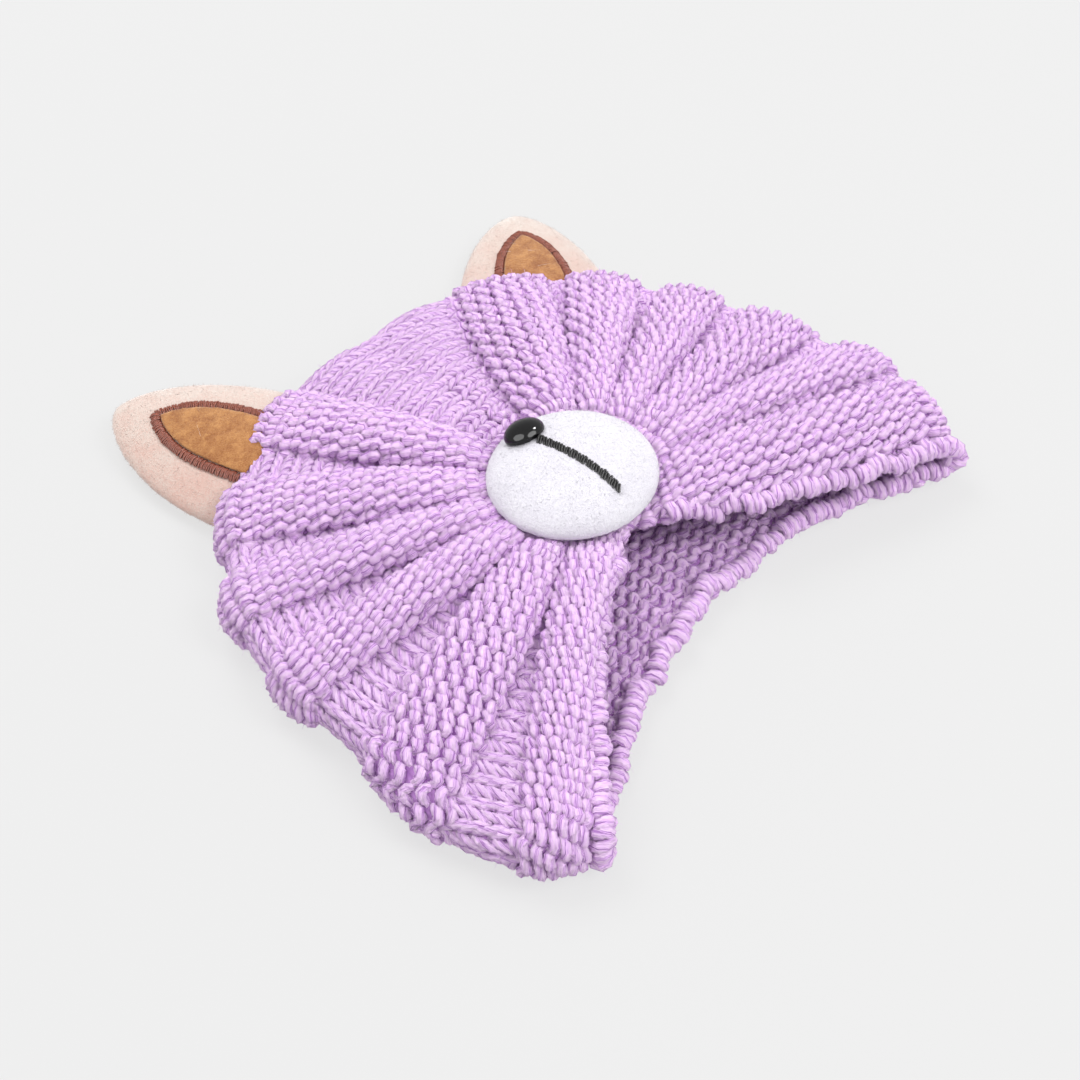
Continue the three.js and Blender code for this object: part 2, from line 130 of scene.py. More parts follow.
def laid(rows, turn, row, place):
    """The fabric without its ribs: place 0 is the gather, 0.5 to 0.7 the fold, 1 mid back."""
    row, place = np.broadcast_arrays(np.clip(row, 0, float(CROWN)), place)
    start, end = through(rows[:, [0, 1, 4]], row), through(rows[:, [2, 3, 5]], row)
    bow, bend = start[..., 2:], end[..., 2:]
    way = end[..., :2] - start[..., :2]
    length = np.linalg.norm(way, axis=-1, keepdims=True)
    way = way / length
    straight = length - WALL / 2 - bend
    t = np.clip(place / FOLD_FROM, 0, 1)[..., None]
    crownward = np.stack([way[..., 1], -way[..., 0]], -1) * turn
    front = start[..., :2] + way * straight * t + crownward * bow * np.sin(np.pi * t)
    front = np.concatenate([front, lerp(GATHER_LEVEL, BACK_LEVEL + 2 * bend, t * t)], -1)
    under = start[..., :2] + way * straight
    a = np.pi * np.clip((place - FOLD_FROM) / (FOLD_TO - FOLD_FROM), 0, 1)[..., None]
    fold = np.concatenate([under + way * bend * np.sin(a), BACK_LEVEL + bend * (1 + np.cos(a))], -1)
    t = np.clip((place - FOLD_TO) / (1 - FOLD_TO), 0, 1)[..., None]
    middle = BACK_BRIM + (BACK_CROWN - BACK_BRIM) * (row[..., None] / CROWN) ** BACK_CROWDING
    knee = np.stack([(under[..., 0] + middle[..., 0]) / 2, middle[..., 1]], -1)
    back = (1 - t) ** 2 * under + 2 * t * (1 - t) * knee + t * t * middle
    back = np.concatenate([back, np.full_like(back[..., :1], BACK_LEVEL)], -1)
    place = place[..., None]
    return np.where(place <= FOLD_FROM, front, np.where(place <= FOLD_TO, fold, back))


def facing(rows, turn, row, place):
    """The outward direction of the fabric without its ribs."""
    step = 0.01
    up = laid(rows, turn, row + step, place) - laid(rows, turn, row - step, place)
    out = laid(rows, turn, row, np.minimum(1, place + step)) - laid(
        rows, turn, row, np.maximum(0, place - step)
    )
    n = np.cross(up, out) * turn
    n /= np.maximum(np.linalg.norm(n, axis=-1, keepdims=True), 1e-9)
    n[place >= FOLD_TO] = (0, 0, -1)
    return n


# The purl rows lie evenly along a rib's section, which is half an ellipse.
SECTION = np.linspace(-np.pi / 2, np.pi / 2, 41)


def half_strip(rows, turn, place, per_row=ROW_PARTS):
    """Middle of the fabric, with and without its ribs, for each fraction of a knitted row."""
    t = np.minimum(1, place / FOLD_FROM)
    arch = lerp(RIB_HEIGHT_AT_MUZZLE, RIB_HEIGHT_AT_FOLD, t)
    arch = lerp(arch, RIB_HEIGHT, np.sin(np.pi * t))
    pressed = smooth(place, (FOLD_FROM + FOLD_TO) / 2, FOLD_TO)
    flattened = smooth(place, FOLD_TO, 1)
    ribs = []
    for rib in range(RIBS):
        at_fold = np.hypot(*(rows[rib + 1, 2:4] - rows[rib, 2:4]))
        start, end = (
            lerp(lerp(CREASE, rows[r, 6] / 2 / at_fold, t), BACK_GROOVE, flattened)
            for r in (rib, rib + 1)
        )
        edges = [laid(rows, turn, np.full_like(place, r), place) for r in (rib, rib + 1)]
        width = np.linalg.norm(edges[1] - edges[0], axis=-1)
        centre = (edges[0] + edges[1]) / 2
        opened = smooth(np.hypot(centre[:, 0], centre[:, 1]), SEAT_RADIUS, MUZZLE_REACH)
        x = np.sin(SECTION) * (width * (1 - start - end) / 2)[:, None]
        y = np.cos(SECTION) * (arch * opened)[:, None]
        gone = np.cumsum(np.hypot(np.diff(x, axis=1), np.diff(y, axis=1)), axis=1)
        gone = np.hstack([np.zeros((len(place), 1)), gone / gone[:, -1:]])
        ribs.append((start, end, gone, width))
    bare, ribbed = [], []
    for row in np.arange(0, HALF_ROWS + 1e-6, 1 / per_row):
        rib = min(int((row + 1e-6) / RIB_ROWS), RIBS)
        step = row - rib * RIB_ROWS
        if rib == RIBS:
            share = step / GUSSET_ROWS
            across = np.full_like(place, share)
            rise = np.full_like(place, GUSSET_SWELL * math.sin(math.pi * share))
        else:
            start, end, gone, width = ribs[rib]
            rise = np.zeros_like(place)
            if step < PURL_FROM:
                across = step / PURL_FROM * start
            elif step > PURL_TO:
                across = 1 - (RIB_ROWS - step) / (RIB_ROWS - PURL_TO) * end
            else:
                share = (step - PURL_FROM) / (PURL_TO - PURL_FROM)
                a = np.array([np.interp(share, g, SECTION) for g in gone])
                across = lerp(start, 1 - end, 0.5 + 0.5 * np.sin(a))
                rise = arch * np.cos(a)
                across = across - RIB_ROLL * rise / width * (1 - pressed)
        at = laid(rows, turn, rib + across, place)
        rise = rise * smooth(np.hypot(at[:, 0], at[:, 1]), SEAT_RADIUS, MUZZLE_REACH)
        rise = lerp(rise, np.minimum(rise, PRESSED_RIB), pressed)
        bare.append(at)
        ribbed.append(at + facing(rows, turn, rib + across, place) * rise[:, None])
    return np.array(bare), np.array(ribbed)


def whole_strip(place, per_row=ROW_PARTS):
    """Both sides as one strip: rows 0 to HALF_ROWS on the left, then on to the right brim."""
    sides = [half_strip(rows, turn, place, per_row) for rows, turn in ((LEFT, 1), (RIGHT, -1))]
    return [np.concatenate([left, right[-2::-1]]) for left, right in zip(*sides)]


def mesh_object(name, points, faces, edges=()):
    mesh = bpy.data.meshes.new(name)
    mesh.from_pydata([tuple(p) for p in points], [tuple(e) for e in edges], faces)
    mesh.validate()
    mesh.update()
    made = bpy.data.objects.new(name, mesh)
    bpy.context.scene.collection.objects.link(made)
    return made


def put(tree, kind, wires=None, **settings):
    """A node with its settings, and with its inputs wired or set, by name or by number."""
    node = tree.nodes.new(kind)
    for name, value in settings.items():
        setattr(node, name, value)
    for key, value in (wires or {}).items():
        if isinstance(key, int):
            socket = node.inputs[key]
        else:
            socket = next(s for s in node.inputs if s.name == key and s.enabled)
        if isinstance(value, bpy.types.NodeSocket):
            tree.links.new(value, socket)
        else:
            socket.default_value = value
    return node


def maths(tree, operation, a, b=0.0):
    return put(tree, "ShaderNodeMath", {0: a, 1: b}, operation=operation).outputs[0]


def vectors(tree, operation, a, b):
    """Adds, subtracts, multiplies or crosses two vectors, or scales the first by the second."""
    wires = {0: a, "Scale" if operation == "SCALE" else 1: b}
    return put(tree, "ShaderNodeVectorMath", wires, operation=operation).outputs[0]


def noise(tree, at, scale, detail, **more):
    wires = {"Vector": at, "Scale": scale, "Detail": detail} | more
    return put(tree, "ShaderNodeTexNoise", wires).outputs


def srgb(*levels):
    """A colour from levels of 0 to 255."""
    shares = [v / 255 for v in levels]
    return (*[s / 12.92 if s <= 0.04045 else ((s + 0.055) / 1.055) ** 2.4 for s in shares], 1)


def new_material(name):
    material = bpy.data.materials.new(name)
    material.use_nodes = True
    tree = material.node_tree
    return material, tree, tree.nodes["Principled BSDF"]


def coloured(tree, shader, level, *stops):
    """Colours a surface by a level, between stops of (level, colour)."""
    ramp = put(tree, "ShaderNodeValToRGB", {0: level})
    elements = ramp.color_ramp.elements
    while len(elements) < len(stops):
        elements.new(1.0)
    for i, (at, colour) in enumerate(stops):
        elements[i].position, elements[i].color = at, colour
    tree.links.new(ramp.outputs["Color"], shader.inputs["Base Color"])
    return ramp.outputs["Color"]


def bumped(tree, shader, height, distance, strength, **settings):
    wires = {"Height": height, "Distance": distance, "Strength": strength}
    bump = put(tree, "ShaderNodeBump", wires, **settings)
    tree.links.new(bump.outputs["Normal"], shader.inputs["Normal"])


def finished(shader, values):
    for name, value in values.items():
        shader.inputs[name].default_value = value


# The yarn is plied from soft acrylic. Its colour carries painted shade and painted highlight:
# pale on each ply's back, darker in the grooves between the plies, and streaked by loose fibres
# that catch painted light.
yarn, tree, shader = new_material("lilac_yarn_finish")
along, plies = (
    put(tree, "ShaderNodeAttribute", attribute_name=name).outputs["Fac"]
    for name in ("along", "plies")
)
round_it = put(tree, "ShaderNodeAttribute", attribute_name="round").outputs["Vector"]
across, upward = put(tree, "ShaderNodeSeparateXYZ", {0: round_it}).outputs[:2]
angle = maths(tree, "ARCTAN2", upward, across)
ply = maths(tree, "ABSOLUTE", maths(tree, "COSINE", maths(tree, "MULTIPLY", angle, plies)))
lengthwise = maths(tree, "MULTIPLY", along, 50.0)
lengthwise = put(tree, "ShaderNodeCombineXYZ", {2: lengthwise}).outputs[0]
on_strand = vectors(tree, "ADD", round_it, lengthwise)
fibres = noise(tree, on_strand, 8.0, 3.0)["Fac"]
place_on = put(tree, "ShaderNodeTexCoord").outputs["Object"]
patches = noise(tree, place_on, 60.0, 2.0)["Fac"]
fibre = maths(tree, "MULTIPLY", maths(tree, "SUBTRACT", fibres, 0.34), 1.7)
height = maths(tree, "ADD", maths(tree, "MULTIPLY", ply, 0.5), fibre)
# Painted shade and painted highlight: the ramp darkens the grooves between the plies and paints each
# ply's back paler.
lilac = coloured(
    tree,
    shader,
    height,
    (0.22, srgb(180, 122, 202)),
    (0.44, srgb(239, 192, 252)),
    (0.78, srgb(250, 217, 254)),
)
brightness = maths(tree, "ADD", maths(tree, "MULTIPLY", patches, 0.12), 0.94)
tint = put(
    tree,
    "ShaderNodeHueSaturation",
    {"Hue": 0.5, "Saturation": 1.0, "Value": brightness, "Color": lilac},
)
tree.links.new(tint.outputs["Color"], shader.inputs["Base Color"])
bumped(tree, shader, height, 0.0007, 0.9)
finished(
    shader,
    {
        "Roughness": 0.88,
        "Specular IOR Level": 0.25,
        "Sheen Weight": 0.4,
        "Sheen Roughness": 0.5,
        "Sheen Tint": srgb(245, 215, 255),
    },
)

# Behind the loops of yarn there is only more of the same yarn, in their shade. This material is
# that yarn with its shade painted in: a darker lilac, darkest where its loops meet.
inside, tree, shader = new_material("lilac_yarn_inside")
place_on = put(tree, "ShaderNodeTexCoord").outputs["UV"]
loops = put(
    tree, "ShaderNodeTexVoronoi", {"Vector": place_on, "Scale": 2.0}, voronoi_dimensions="2D"
).outputs["Distance"]
# Painted shade: darker lilac, darkest at the edges of each loop.
coloured(tree, shader, loops, (0.0, srgb(186, 136, 202)), (1.0, srgb(134, 84, 152)))
bumped(tree, shader, loops, 0.0008, 0.8, invert=True)
finished(shader, {"Roughness": 0.95})

# The cloth itself: a thin closed sheet through the middle of the loops. It stands for the yarn
# behind them, and its darker lilac is painted shade.
CLOTH = 0.8  # thickness
BACK_CLOTH_LEVEL = 3.9


def places_along(front_steps, fold_steps, behind):
    """Places from the gather to the fold, round it, and those given behind it."""
    front = np.linspace(0, FOLD_FROM, front_steps)[:-1]
    return np.concatenate([front, np.linspace(FOLD_FROM, FOLD_TO, fold_steps), behind])


places = places_along(27, 9, [0.76, 0.84, 0.92, 1])
bare, ribbed = whole_strip(places, per_row=1)
onto_back = smooth(places, 0.68, 0.76)[None, :]
ribbed[..., 2] = lerp(ribbed[..., 2], BACK_CLOTH_LEVEL, onto_back)
count, last = len(ribbed), len(places) - 1
for j in range(count // 2 + 1, count):
    ribbed[j, last] = ribbed[count - 1 - j, last]
ribbed[-1, 0] = ribbed[0, 0]
up = np.gradient(ribbed, axis=0)
out = np.gradient(ribbed, axis=1)
normals = np.cross(up, out)
normals /= np.maximum(np.linalg.norm(normals, axis=-1, keepdims=True), 1e-9)
for j in range(count // 2 + 1, count):
    normals[j, last] = normals[count - 1 - j, last]
normals[-1, 0] = normals[0, 0] = (0, 0, 1)
skins = [ribbed + normals * side * CLOTH / 2 for side in (1, -1)]
points = np.concatenate([skin.reshape(-1, 3) for skin in skins])
points = np.vstack([points, [0, 0, GATHER_LEVEL + CLOTH / 2], [0, 0, GATHER_LEVEL - CLOTH / 2]])
wide = last + 1
faces = []
for s in (0, 1):
    def at(j, i, s=s):
        return s * count * wide + j * wide + i

    for j in range(count - 1):
        for i in range(last):
            quad = [at(j, i), at(j + 1, i), at(j + 1, i + 1), at(j, i + 1)]
            faces.append(quad if s == 0 else quad[::-1])
        fan = [at(j + 1, 0), at(j, 0), len(points) - 2 + s]
        faces.append(fan if s == 0 else fan[::-1])
for i in range(last):
    for j, turned in ((0, False), (count - 1, True)):
        rim = [j * wide + i, j * wide + i + 1]
        rim += [rim[1] + count * wide, rim[0] + count * wide]
        faces.append(rim[::-1] if turned else rim)
cloth = mesh_object("turban_knit", points * MM + GATHER, faces)
uv = cloth.data.uv_layers.new(name="UVMap")
rows_of = np.repeat(np.arange(count), wide)
stitch_of = np.tile(places * MOST_STITCHES, count)
flat = np.concatenate([np.stack([stitch_of, rows_of], -1)] * 2 + [np.zeros((2, 2))])
loop_points = np.zeros(len(cloth.data.loops), int)
cloth.data.loops.foreach_get("vertex_index", loop_points)
uv.data.foreach_set("uv", flat[loop_points].astype(np.float32).ravel())
work = bmesh.new()
work.from_mesh(cloth.data)
bmesh.ops.remove_doubles(work, verts=work.verts, dist=1e-6)
work.to_mesh(cloth.data)
work.free()
cloth.data.shade_smooth()
# Painted shade: the sheet takes the darker lilac of the yarn's shade.
cloth.data.materials.append(inside)

# ------------------------------------------------------------ the rows of stitches
# Each row is one yarn that runs from the gather out over the front, round the fold and under.
# Its loops hang through those of the row before: on a purl row their heads stand out, on a
# knit row their legs do, which makes the columns of small Vs in the grooves.

LOOP_POINTS = 17  # points along the yarn in one stitch
YARN_RADIUS = 1.56
LOOP_HEIGHT, LOOP_DEPTH = 0.88, 0.6
PURL_LEAN, PURL_HEIGHT, PURL_DEPTH, PURL_SLANT = 0.05, 0.7, 1.3, -0.15
PLY_TURN = 400.0  # radians of twist per metre of yarn
TUCKED_UNDER = 15  # the rows start this far from the gather, under the muzzle
WRAP_TO = 0.77  # and end here, a little way onto the back
NARROWEST = 1.7  # rows lie no closer than this, and the spare ones are hidden in the crease
NARROWEST_OUTER = 0.8  # the same for the rows next to a crease

RING = 0.76  # the back shows inside the ring where the rows pass this place
places = places_along(41, 15, [0.73, RING, 0.8])
bare, ribbed = whole_strip(places)
lowest = PURL_DEPTH + YARN_RADIUS + 0.05
ribbed[..., 2] = np.maximum(ribbed[..., 2], lowest)
steps = np.linalg.norm(np.diff(bare, axis=1), axis=-1)
stitches = np.concatenate([np.zeros((len(bare), 1)), np.cumsum(steps, axis=1)], axis=1) / STITCH


def fabric_mesh(name, points, stitch, row):
    """The surface that a piece of knitting follows, mapped by stitch and by row."""
    high, wide = points.shape[:2]
    faces = [
        (j * wide + i, (j + 1) * wide + i, (j + 1) * wide + i + 1, j * wide + i + 1)
        for j in range(high - 1)
        for i in range(wide - 1)
    ]
    made = mesh_object(name, points.reshape(-1, 3) * MM + GATHER, faces)
    flat = np.stack([(stitch + 1) / (MOST_STITCHES + 2), (row + 2) / (STRIP_ROWS + 4)], -1)
    at = np.zeros(len(made.data.loops), int)
    made.data.loops.foreach_get("vertex_index", at)
    uv = made.data.uv_layers.new(name="UVMap")
    uv.data.foreach_set("uv", flat.reshape(-1, 2)[at].astype(np.float32).ravel())
    made.data.shade_smooth()
    return made


# One more row beyond each end of the strip, for the loops that lean out over it.
brimward = [2 * ribbed[0] - ribbed[ROW_PARTS], 2 * ribbed[-1] - ribbed[-1 - ROW_PARTS]]
grid = np.concatenate([brimward[:1], ribbed, brimward[1:]])
grid_rows = np.concatenate([[-1], np.arange(len(ribbed)) / ROW_PARTS, [STRIP_ROWS + 1]])
grid_stitches = np.concatenate([stitches[:1], stitches, stitches[-1:]])
front_fabric = fabric_mesh(
    "front_fabric", grid, grid_stitches, np.broadcast_to(grid_rows[:, None], grid.shape[:2])
)


def new_tree(name, sockets):
    """A Geometry Nodes tree with a Geometry input, the named inputs, and a Geometry output."""
    tree = bpy.data.node_groups.new(name, "GeometryNodeTree")
    tree.interface.new_socket("Geometry", in_out="OUTPUT", socket_type="NodeSocketGeometry")
    tree.interface.new_socket("Geometry", in_out="INPUT", socket_type="NodeSocketGeometry")
    for label, kind in sockets.items():
        tree.interface.new_socket(label, in_out="INPUT", socket_type="NodeSocket" + kind)
    given = tree.nodes.new("NodeGroupInput")
    return tree, {s.name: s for s in given.outputs if s.name}


def finish_tree(tree, geometry, material):
    realized = put(tree, "GeometryNodeRealizeInstances", {"Geometry": geometry})
    smoothed = put(tree, "GeometryNodeSetShadeSmooth", {"Geometry": realized.outputs[0]})
    dressed = put(
        tree, "GeometryNodeSetMaterial", {"Geometry": smoothed.outputs[0], "Material": material}
    )
    end = tree.nodes.new("NodeGroupOutput")
    tree.links.new(dressed.outputs[0], end.inputs[0])


def made_by(tree, base, name, **inputs):
    """Runs a tree on a mesh and returns the result as a plain object."""
    maker = bpy.data.objects.new(name + "_maker", base)
    bpy.context.scene.collection.objects.link(maker)
    modifier = maker.modifiers.new("make", "NODES")
    modifier.node_group = tree
    for item in tree.interface.items_tree:
        if item.in_out == "INPUT" and item.name in inputs:
            modifier[item.identifier] = inputs[item.name]
    graph = bpy.context.evaluated_depsgraph_get()
    mesh = bpy.data.meshes.new_from_object(maker.evaluated_get(graph))
    bpy.data.objects.remove(maker)
    mesh.name = name
    # Yarn that reaches the table is pressed flat against it.
    points = np.zeros(len(mesh.vertices) * 3)
    mesh.vertices.foreach_get("co", points)
    points[2::3] = np.maximum(points[2::3], 0.0001)
    mesh.vertices.foreach_set("co", points)
    mesh.update()
    made = bpy.data.objects.new(name, mesh)
    bpy.context.scene.collection.objects.link(made)
    return made


def plied(tree, line, radius, turn, sides=6, plies=3):
    """Sweeps a yarn along a curve. Its attributes round, along and plies map its surface."""
    along = put(tree, "GeometryNodeSplineParameter").outputs["Length"]
    for label, value in (("along", along), ("plies", plies / 2)):
        line = put(
            tree,
            "GeometryNodeStoreNamedAttribute",
            {"Geometry": line, "Name": label, "Value": value},
            data_type="FLOAT",
            domain="POINT",
        ).outputs[0]
    tilt = maths(tree, "MULTIPLY", along, turn)
    turned = put(tree, "GeometryNodeSetCurveTilt", {"Curve": line, "Tilt": tilt})
    ring = put(tree, "GeometryNodeCurvePrimitiveCircle", {"Resolution": sides, "Radius": 1.0})
    section = put(
        tree,
        "GeometryNodeStoreNamedAttribute",
        {
            "Geometry": ring.outputs[0],
            "Name": "round",
            "Value": put(tree, "GeometryNodeInputPosition").outputs[0],
        },
        data_type="FLOAT_VECTOR",
        domain="POINT",
    )
    wires = {"Curve": turned.outputs[0], "Profile Curve": section.outputs[0], "Scale": radius}
    return put(tree, "GeometryNodeCurveToMesh", wires | {"Fill Caps": True}).outputs[0]


HALF_WAY = (0.5, 0.5, 0.5)  # the middle of a noise's colours
FLUFF = 0.14  # how much the yarn swells where it stands out, and thins where it lies deep
knitting, given = new_tree(
    "rows of stitches",
    {
        "Fabric": "Object",
        "Height": "Float",
        "Depth": "Float",
        "Purl Lean": "Float",
        "Purl Height": "Float",
        "Purl Depth": "Float",
        "Purl Slant": "Float",
        "Yarn Radius": "Float",
        "Twist": "Float",
        "Unevenness": "Float",
        "Yarn": "Material",
    },
)
tree = knitting
line = put(tree, "GeometryNodeMeshToCurve", {"Mesh": given["Geometry"]}).outputs[0]
flat = put(tree, "ShaderNodeSeparateXYZ", {0: put(tree, "GeometryNodeInputPosition").outputs[0]})
stitch, row = flat.outputs[0], flat.outputs[1]
face, shown = (
    put(tree, "GeometryNodeInputNamedAttribute", {"Name": name}, data_type="FLOAT").outputs[0]
    for name in ("face", "shown")
)
turn = maths(tree, "MULTIPLY", stitch, 2 * math.pi)
twice = maths(tree, "MULTIPLY", turn, 2.0)
around = maths(tree, "SINE", twice)
is_purl = maths(tree, "MULTIPLY", maths(tree, "ADD", face, 1.0), 0.5)
lean = maths(tree, "MULTIPLY", maths(tree, "MULTIPLY", around, is_purl), given["Purl Lean"])
stitch_at = maths(tree, "ADD", stitch, maths(tree, "MULTIPLY", lean, shown))
rise = maths(tree, "SUBTRACT", given["Purl Height"], given["Height"])
rise = maths(tree, "ADD", maths(tree, "MULTIPLY", rise, is_purl), given["Height"])
rise = maths(tree, "MULTIPLY", maths(tree, "COSINE", turn), rise)
slant = maths(tree, "MULTIPLY", maths(tree, "MULTIPLY", around, is_purl), given["Purl Slant"])
rise = maths(tree, "ADD", rise, slant)
row_at = maths(tree, "ADD", row, maths(tree, "MULTIPLY", rise, shown))
spot = put(
    tree,
    "ShaderNodeCombineXYZ",
    {
        0: maths(tree, "DIVIDE", maths(tree, "ADD", stitch_at, 1.0), MOST_STITCHES + 2.0),
        1: maths(tree, "DIVIDE", maths(tree, "ADD", row_at, 2.0), STRIP_ROWS + 4.0),
    },
).outputs[0]
fabric = put(tree, "GeometryNodeObjectInfo", {"Object": given["Fabric"]}).outputs["Geometry"]
map_of = put(
    tree, "GeometryNodeInputNamedAttribute", {"Name": "UVMap"}, data_type="FLOAT_VECTOR"
).outputs[0]
on_fabric = [
    put(
        tree,
        "GeometryNodeSampleUVSurface",
        {"Mesh": fabric, "Value": value, "UV Map": map_of, "Sample UV": spot},
        data_type="FLOAT_VECTOR",
    ).outputs[0]
    for value in (
        put(tree, "GeometryNodeInputPosition").outputs[0],
        put(tree, "GeometryNodeInputNormal").outputs[0],
    )
]
proud = maths(tree, "MULTIPLY", maths(tree, "COSINE", twice), maths(tree, "MULTIPLY", face, shown))
fluffed = maths(tree, "ADD", maths(tree, "MULTIPLY", proud, FLUFF), 1.0)
depth = maths(tree, "SUBTRACT", given["Purl Depth"], given["Depth"])
depth = maths(tree, "ADD", maths(tree, "MULTIPLY", depth, is_purl), given["Depth"])
proud = maths(tree, "MULTIPLY", proud, depth)
outwards = vectors(tree, "SCALE", on_fabric[1], proud)
uneven = noise(tree, on_fabric[0], 170.0, 1.0)["Color"]
uneven = vectors(tree, "SUBTRACT", uneven, HALF_WAY)
uneven = vectors(tree, "SCALE", uneven, given["Unevenness"])
line = put(
    tree,
    "GeometryNodeSetPosition",
    {"Geometry": line, "Position": on_fabric[0], "Offset": vectors(tree, "ADD", outwards, uneven)},
).outputs[0]
line = put(
    tree,
    "GeometryNodeStoreNamedAttribute",
    {
        "Geometry": line,
        "Name": "thickness",
        "Value": maths(tree, "MULTIPLY", fluffed, given["Yarn Radius"]),
    },
    data_type="FLOAT",
    domain="POINT",
).outputs[0]
thickness = put(
    tree, "GeometryNodeInputNamedAttribute", {"Name": "thickness"}, data_type="FLOAT"
).outputs[0]
finish_tree(tree, plied(tree, line, thickness, given["Twist"]), given["Yarn"])

KNITTING = {
    "Height": LOOP_HEIGHT,
    "Depth": LOOP_DEPTH * MM,
    "Purl Lean": PURL_LEAN,
    "Purl Height": PURL_HEIGHT,
    "Purl Depth": PURL_DEPTH * MM,
    "Purl Slant": PURL_SLANT,
    "Yarn Radius": YARN_RADIUS * MM,
    "Twist": PLY_TURN,
    "Unevenness": 0.9 * MM,
    "Yarn": yarn,
}


def stitch_lines(name, lines):
    """Flat lines of yarn for the tree: each is (row, first stitch, last stitch, face)."""
    points, edges, faces_of, shown_of = [], [], [], []
    for row, first, end, face in lines:
        n = max(3, int(round((end - first) * LOOP_POINTS)) + 1)
        stitch = np.linspace(first, end, n)
        start = len(points)
        points += [(s, row, 0) for s in stitch]
        edges += [(start + i, start + i + 1) for i in range(n - 1)]
        faces_of += [face] * n
        shown_of += list(np.clip(np.minimum(stitch - first, end - stitch) * 2, 0, 1))
    mesh = bpy.data.meshes.new(name)
    mesh.from_pydata(points, edges, [])
    for label, values in (("face", faces_of), ("shown", shown_of)):
        mesh.attributes.new(label, "FLOAT", "POINT").data.foreach_set("value", values)
    return mesh


def row_line(k):
    """Where row k of the strip shows: its middle, first and last stitch, and its face."""
    j = round((k + 0.5) * ROW_PARTS)
    from_brim = min(k, STRIP_ROWS - 1 - k)
    rib, step = divmod(from_brim, RIB_ROWS)
    purl = rib < RIBS and PURL_FROM <= step < PURL_TO
    low, high = ribbed[k * ROW_PARTS], ribbed[(k + 1) * ROW_PARTS]
    between = np.linalg.norm(high - low, axis=-1)
    far = np.hypot(bare[j, :, 0], bare[j, :, 1]) > TUCKED_UNDER
    outermost = step in (0, RIB_ROWS - 1) if rib < RIBS else step % 2 == 0
    roomy = between > (NARROWEST_OUTER if outermost else NARROWEST)
    fits = far & (roomy | (places > FOLD_FROM) | purl)
    begins = places[np.argmax(fits)]
    first, end = np.interp([begins, WRAP_TO], places, stitches[j])
    return k + 0.5, first, end, 1.0 if purl else -1.0


ALL_RIBS = RIBS * RIB_ROWS  # rows in the ribs of one side
HALF_OF_RIBS = ALL_RIBS // 2
# Columns: the piece's name, its first row and the row after its last.
FRONT_PIECES = [
    ("knit_left_brim_ribs", 0, HALF_OF_RIBS),
    ("knit_left_crown_ribs", HALF_OF_RIBS, ALL_RIBS),
    ("knit_crown_gusset", ALL_RIBS, STRIP_ROWS - ALL_RIBS),
    ("knit_right_crown_ribs", STRIP_ROWS - ALL_RIBS, STRIP_ROWS - HALF_OF_RIBS),
    ("knit_right_brim_ribs", STRIP_ROWS - HALF_OF_RIBS, STRIP_ROWS),
]
yarns = []
for name, first, end in FRONT_PIECES:
    lines = stitch_lines(name + "_lines", [row_line(k) for k in range(first, end)])
    piece = made_by(knitting, lines, name, Fabric=front_fabric, **KNITTING)
    yarns.append(piece)

# ------------------------------------------------------------ the back
# Behind, the turban is plain knitting with its rows along the brim. From outside it shows
# its columns of Vs, and through the open brim its purl side.

BACK_ROW = 4.1  # height of a row of the back
BACK_LEFT, BACK_WIDE = -96, 196
BACK_ROWS = 36
STRAIGHT_FROM = 140  # the rows follow the curve of the brim less and less, up to here
END_SLACK, SHORTEST_RUN = 0.4, 1.5  # in stitches
edge_places = np.linspace(FOLD_TO, 1, 25)
at_brim = np.zeros(25)
brim = np.concatenate(
    [laid(LEFT, 1, at_brim, edge_places), laid(RIGHT, -1, at_brim, edge_places)[-2::-1]]
)
BACK_STITCHES = round(BACK_WIDE / STITCH)
across = np.linspace(0, BACK_STITCHES, 2 * BACK_STITCHES + 1)
back_rows = np.arange(-1, BACK_ROWS + 2)
x = BACK_LEFT + across * STITCH
brim_y = np.interp(x, brim[:, 0], brim[:, 1])
grid = np.zeros((len(back_rows), len(across), 3))
for j, k in enumerate(back_rows):
    up = k * BACK_ROW
    grid[j, :, 0] = x
    grid[j, :, 1] = lerp(brim_y, BACK_BRIM[1], np.clip(up / STRAIGHT_FROM, 0, 1)) + up
    grid[j, :, 2] = BACK_CLOTH_LEVEL
back_fabric = fabric_mesh(
    "back_fabric",
    grid,
    np.broadcast_to(across, grid.shape[:2]),
    np.broadcast_to(back_rows[:, None], grid.shape[:2]),
)
ring_at = int(np.argmin(abs(places - RING)))
ring = np.concatenate([ribbed[:, ring_at, :2], brim[::-1, :2]])


def spans_inside(points):
    """The runs of a line of plan points that lie inside the ring, as index pairs."""
    inside_ring = np.zeros(len(points), bool)
    for (ax, ay), (bx, by) in zip(ring, np.roll(ring, -1, axis=0)):
        crosses = (ay > points[:, 1]) != (by > points[:, 1])
        where = ax + (points[:, 1] - ay) / (by - ay if by != ay else 1e-9) * (bx - ax)
        inside_ring ^= crosses & (points[:, 0] < where)
    edges = np.flatnonzero(np.diff(np.concatenate([[0], inside_ring.astype(int), [0]])))
    return list(zip(edges[::2], edges[1::2] - 1))


